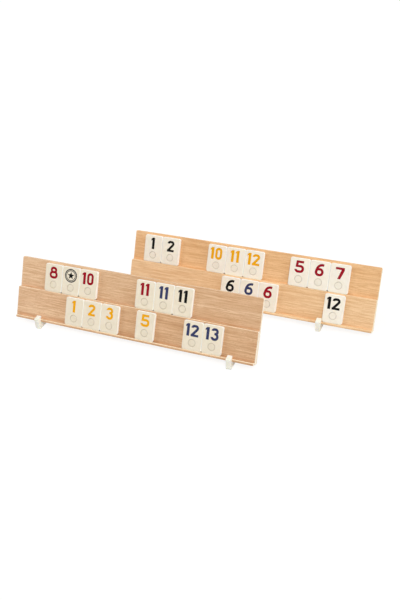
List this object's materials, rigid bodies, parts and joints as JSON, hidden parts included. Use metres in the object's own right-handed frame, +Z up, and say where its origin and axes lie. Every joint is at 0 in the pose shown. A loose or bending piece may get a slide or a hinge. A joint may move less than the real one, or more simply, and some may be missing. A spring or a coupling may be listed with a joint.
{
  "type": "rummy tile rack pair",
  "caption": "Pair of tilted two-tier wooden tile racks on sliding clip-on plastic feet, with numbered tiles that lift off the ledges",
  "frame": {"origin": "centre of the pair's footprint, on the table under the feet", "axes": "+X along the racks to the right of a player facing the tiles, +Y away from that player, the way the boards lean, +Z up"},
  "size_m": [0.4612, 0.1646, 0.0777],
  "materials": {
    "beech_front": "smooth sanded beech with a thin satin varnish",
    "beech_rear": "smooth sanded beech with a thin satin varnish, a little yellower",
    "foot_plastic": "moulded cream plastic, glossy",
    "tile_plastic": "ivory plastic, satin face and polished edges",
    "red_paint": "paint filled into the engraving, satin",
    "orange_paint": "paint filled into the engraving, satin",
    "blue_paint": "paint filled into the engraving, satin",
    "black_paint": "paint filled into the engraving, satin"
  },
  "bodies": {
    "front_rack": {"front_back_board": "beech_front", "front_middle_board": "beech_front", "front_lip_strip": "beech_front"},
    "rear_rack": {"rear_back_board": "beech_rear", "rear_middle_board": "beech_rear", "rear_lip_strip": "beech_rear"},
    "front_foot_left": {"front_foot_left": "foot_plastic"},
    "front_foot_right": {"front_foot_right": "foot_plastic"},
    "rear_foot_left": {"rear_foot_left": "foot_plastic"},
    "rear_foot_right": {"rear_foot_right": "foot_plastic"},
    "front_tile_u1_8_red": {"front_tile_u1_8_red": "tile_plastic", "front_paint_u1_8_red": "red_paint"},
    "front_tile_u2_star_black": {"front_tile_u2_star_black": "tile_plastic", "front_paint_u2_star_black": "black_paint"},
    "front_tile_u3_10_red": {"front_tile_u3_10_red": "tile_plastic", "front_paint_u3_10_red": "red_paint"},
    "front_tile_u4_11_red": {"front_tile_u4_11_red": "tile_plastic", "front_paint_u4_11_red": "red_paint"},
    "front_tile_u5_11_blue": {"front_tile_u5_11_blue": "tile_plastic", "front_paint_u5_11_blue": "blue_paint"},
    "front_tile_u6_11_black": {"front_tile_u6_11_black": "tile_plastic", "front_paint_u6_11_black": "black_paint"},
    "front_tile_l1_1_orange": {"front_tile_l1_1_orange": "tile_plastic", "front_paint_l1_1_orange": "orange_paint"},
    "front_tile_l2_2_orange": {"front_tile_l2_2_orange": "tile_plastic", "front_paint_l2_2_orange": "orange_paint"},
    "front_tile_l3_3_orange": {"front_tile_l3_3_orange": "tile_plastic", "front_paint_l3_3_orange": "orange_paint"},
    "front_tile_l4_5_orange": {"front_tile_l4_5_orange": "tile_plastic", "front_paint_l4_5_orange": "orange_paint"},
    "front_tile_l5_12_blue": {"front_tile_l5_12_blue": "tile_plastic", "front_paint_l5_12_blue": "blue_paint"},
    "front_tile_l6_13_blue": {"front_tile_l6_13_blue": "tile_plastic", "front_paint_l6_13_blue": "blue_paint"},
    "rear_tile_u1_1_black": {"rear_tile_u1_1_black": "tile_plastic", "rear_paint_u1_1_black": "black_paint"},
    "rear_tile_u2_2_black": {"rear_tile_u2_2_black": "tile_plastic", "rear_paint_u2_2_black": "black_paint"},
    "rear_tile_u3_10_orange": {"rear_tile_u3_10_orange": "tile_plastic", "rear_paint_u3_10_orange": "orange_paint"},
    "rear_tile_u4_11_orange": {"rear_tile_u4_11_orange": "tile_plastic", "rear_paint_u4_11_orange": "orange_paint"},
    "rear_tile_u5_12_orange": {"rear_tile_u5_12_orange": "tile_plastic", "rear_paint_u5_12_orange": "orange_paint"},
    "rear_tile_u6_5_red": {"rear_tile_u6_5_red": "tile_plastic", "rear_paint_u6_5_red": "red_paint"},
    "rear_tile_u7_6_red": {"rear_tile_u7_6_red": "tile_plastic", "rear_paint_u7_6_red": "red_paint"},
    "rear_tile_u8_7_red": {"rear_tile_u8_7_red": "tile_plastic", "rear_paint_u8_7_red": "red_paint"},
    "rear_tile_l1_6_black": {"rear_tile_l1_6_black": "tile_plastic", "rear_paint_l1_6_black": "black_paint"},
    "rear_tile_l2_6_blue": {"rear_tile_l2_6_blue": "tile_plastic", "rear_paint_l2_6_blue": "blue_paint"},
    "rear_tile_l3_6_red": {"rear_tile_l3_6_red": "tile_plastic", "rear_paint_l3_6_red": "red_paint"},
    "rear_tile_l4_12_black": {"rear_tile_l4_12_black": "tile_plastic", "rear_paint_l4_12_black": "black_paint"}
  },
  "joints": [
    {"name": "rear_rack_slides_back", "type": "slide", "parent": "front_rack", "child": "rear_rack", "axis": [0, 1, 0], "range_m": [0, 0.12]},
    {"name": "front_foot_left_slides_along", "type": "slide", "parent": "front_rack", "child": "front_foot_left", "axis": [1, 0, 0], "range_m": [-0.0354, 0.1241]},
    {"name": "front_foot_right_slides_along", "type": "slide", "parent": "front_rack", "child": "front_foot_right", "axis": [1, 0, 0], "range_m": [-0.1323, 0.0272]},
    {"name": "rear_foot_left_slides_along", "type": "slide", "parent": "rear_rack", "child": "rear_foot_left", "axis": [1, 0, 0], "range_m": [-0.0643, 0.0952]},
    {"name": "rear_foot_right_slides_along", "type": "slide", "parent": "rear_rack", "child": "rear_foot_right", "axis": [1, 0, 0], "range_m": [-0.0952, 0.0643]},
    {"name": "front_tile_u1_8_red_lifts_out", "type": "slide", "parent": "front_rack", "child": "front_tile_u1_8_red", "axis": [0, 0.4602, 0.8878], "range_m": [0, 0.045]},
    {"name": "front_tile_u2_star_black_lifts_out", "type": "slide", "parent": "front_rack", "child": "front_tile_u2_star_black", "axis": [0, 0.4602, 0.8878], "range_m": [0, 0.045]},
    {"name": "front_tile_u3_10_red_lifts_out", "type": "slide", "parent": "front_rack", "child": "front_tile_u3_10_red", "axis": [0, 0.4602, 0.8878], "range_m": [0, 0.045]},
    {"name": "front_tile_u4_11_red_lifts_out", "type": "slide", "parent": "front_rack", "child": "front_tile_u4_11_red", "axis": [0, 0.4602, 0.8878], "range_m": [0, 0.045]},
    {"name": "front_tile_u5_11_blue_lifts_out", "type": "slide", "parent": "front_rack", "child": "front_tile_u5_11_blue", "axis": [0, 0.4602, 0.8878], "range_m": [0, 0.045]},
    {"name": "front_tile_u6_11_black_lifts_out", "type": "slide", "parent": "front_rack", "child": "front_tile_u6_11_black", "axis": [0, 0.4602, 0.8878], "range_m": [0, 0.045]},
    {"name": "front_tile_l1_1_orange_lifts_out", "type": "slide", "parent": "front_rack", "child": "front_tile_l1_1_orange", "axis": [0, 0.4602, 0.8878], "range_m": [0, 0.085]},
    {"name": "front_tile_l2_2_orange_lifts_out", "type": "slide", "parent": "front_rack", "child": "front_tile_l2_2_orange", "axis": [0, 0.4602, 0.8878], "range_m": [0, 0.085]},
    {"name": "front_tile_l3_3_orange_lifts_out", "type": "slide", "parent": "front_rack", "child": "front_tile_l3_3_orange", "axis": [0, 0.4602, 0.8878], "range_m": [0, 0.085]},
    {"name": "front_tile_l4_5_orange_lifts_out", "type": "slide", "parent": "front_rack", "child": "front_tile_l4_5_orange", "axis": [0, 0.4602, 0.8878], "range_m": [0, 0.085]},
    {"name": "front_tile_l5_12_blue_lifts_out", "type": "slide", "parent": "front_rack", "child": "front_tile_l5_12_blue", "axis": [0, 0.4602, 0.8878], "range_m": [0, 0.085]},
    {"name": "front_tile_l6_13_blue_lifts_out", "type": "slide", "parent": "front_rack", "child": "front_tile_l6_13_blue", "axis": [0, 0.4602, 0.8878], "range_m": [0, 0.085]},
    {"name": "rear_tile_u1_1_black_lifts_out", "type": "slide", "parent": "rear_rack", "child": "rear_tile_u1_1_black", "axis": [0, 0.4602, 0.8878], "range_m": [0, 0.045]},
    {"name": "rear_tile_u2_2_black_lifts_out", "type": "slide", "parent": "rear_rack", "child": "rear_tile_u2_2_black", "axis": [0, 0.4602, 0.8878], "range_m": [0, 0.045]},
    {"name": "rear_tile_u3_10_orange_lifts_out", "type": "slide", "parent": "rear_rack", "child": "rear_tile_u3_10_orange", "axis": [0, 0.4602, 0.8878], "range_m": [0, 0.045]},
    {"name": "rear_tile_u4_11_orange_lifts_out", "type": "slide", "parent": "rear_rack", "child": "rear_tile_u4_11_orange", "axis": [0, 0.4602, 0.8878], "range_m": [0, 0.045]},
    {"name": "rear_tile_u5_12_orange_lifts_out", "type": "slide", "parent": "rear_rack", "child": "rear_tile_u5_12_orange", "axis": [0, 0.4602, 0.8878], "range_m": [0, 0.045]},
    {"name": "rear_tile_u6_5_red_lifts_out", "type": "slide", "parent": "rear_rack", "child": "rear_tile_u6_5_red", "axis": [0, 0.4602, 0.8878], "range_m": [0, 0.045]},
    {"name": "rear_tile_u7_6_red_lifts_out", "type": "slide", "parent": "rear_rack", "child": "rear_tile_u7_6_red", "axis": [0, 0.4602, 0.8878], "range_m": [0, 0.045]},
    {"name": "rear_tile_u8_7_red_lifts_out", "type": "slide", "parent": "rear_rack", "child": "rear_tile_u8_7_red", "axis": [0, 0.4602, 0.8878], "range_m": [0, 0.045]},
    {"name": "rear_tile_l1_6_black_lifts_out", "type": "slide", "parent": "rear_rack", "child": "rear_tile_l1_6_black", "axis": [0, 0.4602, 0.8878], "range_m": [0, 0.085]},
    {"name": "rear_tile_l2_6_blue_lifts_out", "type": "slide", "parent": "rear_rack", "child": "rear_tile_l2_6_blue", "axis": [0, 0.4602, 0.8878], "range_m": [0, 0.085]},
    {"name": "rear_tile_l3_6_red_lifts_out", "type": "slide", "parent": "rear_rack", "child": "rear_tile_l3_6_red", "axis": [0, 0.4602, 0.8878], "range_m": [0, 0.085]},
    {"name": "rear_tile_l4_12_black_lifts_out", "type": "slide", "parent": "rear_rack", "child": "rear_tile_l4_12_black", "axis": [0, 0.4602, 0.8878], "range_m": [0, 0.085]}
  ]
}
